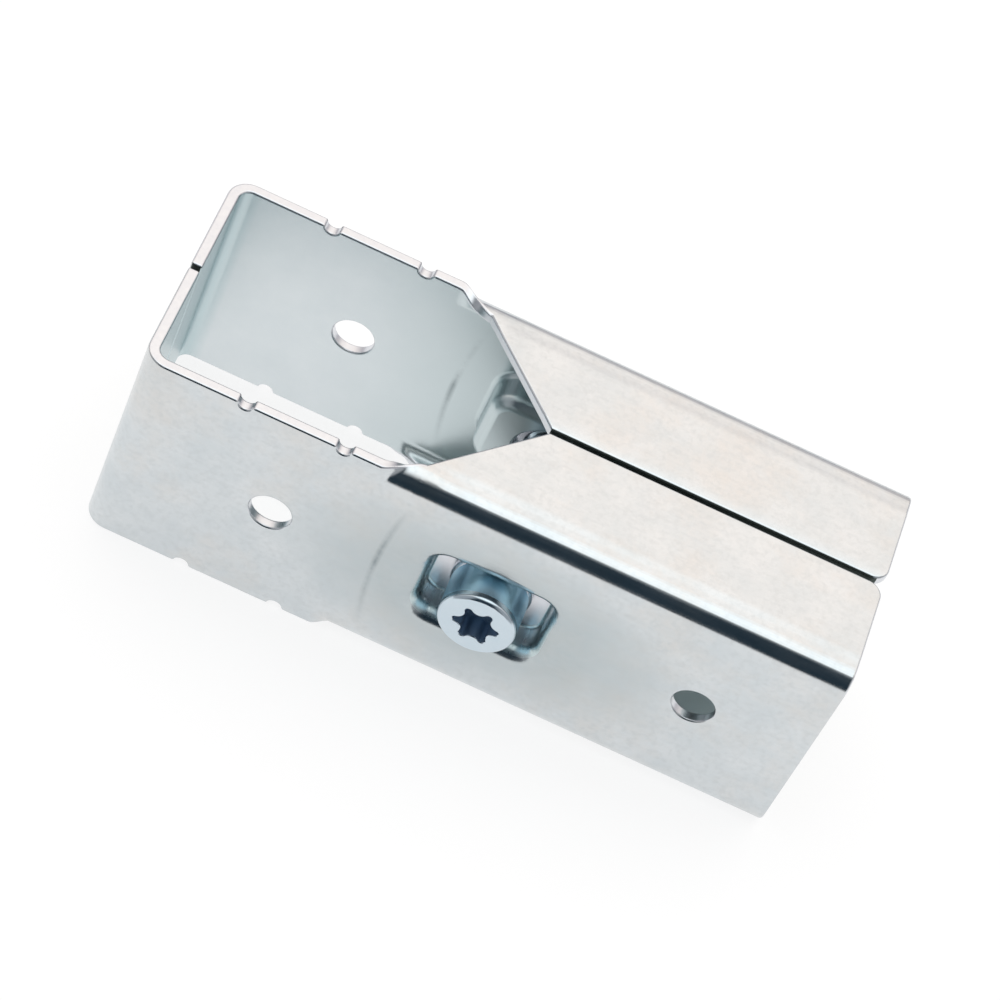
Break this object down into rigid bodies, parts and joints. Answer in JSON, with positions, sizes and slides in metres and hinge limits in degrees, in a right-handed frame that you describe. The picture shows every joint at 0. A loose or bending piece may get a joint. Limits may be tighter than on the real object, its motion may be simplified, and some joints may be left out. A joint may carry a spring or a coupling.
{
  "type": "square tube connector",
  "caption": "Folded sheet-steel clamp connector: mitred half shells, drawn together by a cap screw, hold an upright square tube in an open window and a cross tube in a sleeve.",
  "frame": {"origin": "where the centre lines of the upright tube and the cross tube meet: middle of the open window, on the seam between the shells, at half height", "axes": "+X along the cross tube, out of the sleeve's mouth; +Z along the upright tube, up; the front shell with the screw head faces -Y"},
  "size_m": [0.0924, 0.036, 0.033],
  "materials": {
    "zinc_sheet": "bright zinc-plated sheet steel, rolled grain",
    "zinc_screw": "bright zinc-plated cold-headed steel with a bluish passivation",
    "zinc_washer": "bright zinc-plated steel"
  },
  "bodies": {
    "front": {"front_shell": "zinc_sheet", "clamp_washer": "zinc_washer"},
    "screw": {"clamp_screw": "zinc_screw"},
    "rear": {"rear_shell": "zinc_sheet", "clamp_nut": "zinc_washer"}
  },
  "joints": [
    {"name": "screw_turn", "type": "hinge", "parent": "front", "child": "screw", "pos_m": [0.0316, -0.0132, 0], "axis": [0, -1, 0], "range_deg": [-181, 1081]},
    {"name": "rear_slide", "type": "slide", "parent": "front", "child": "rear", "axis": [0, 1, 0], "range_m": [-0.0005, 0.003]}
  ],
  "couplings": [
    {"joint": "screw_turn", "follows": "rear_slide", "rad_per_m": 6283.2}
  ]
}
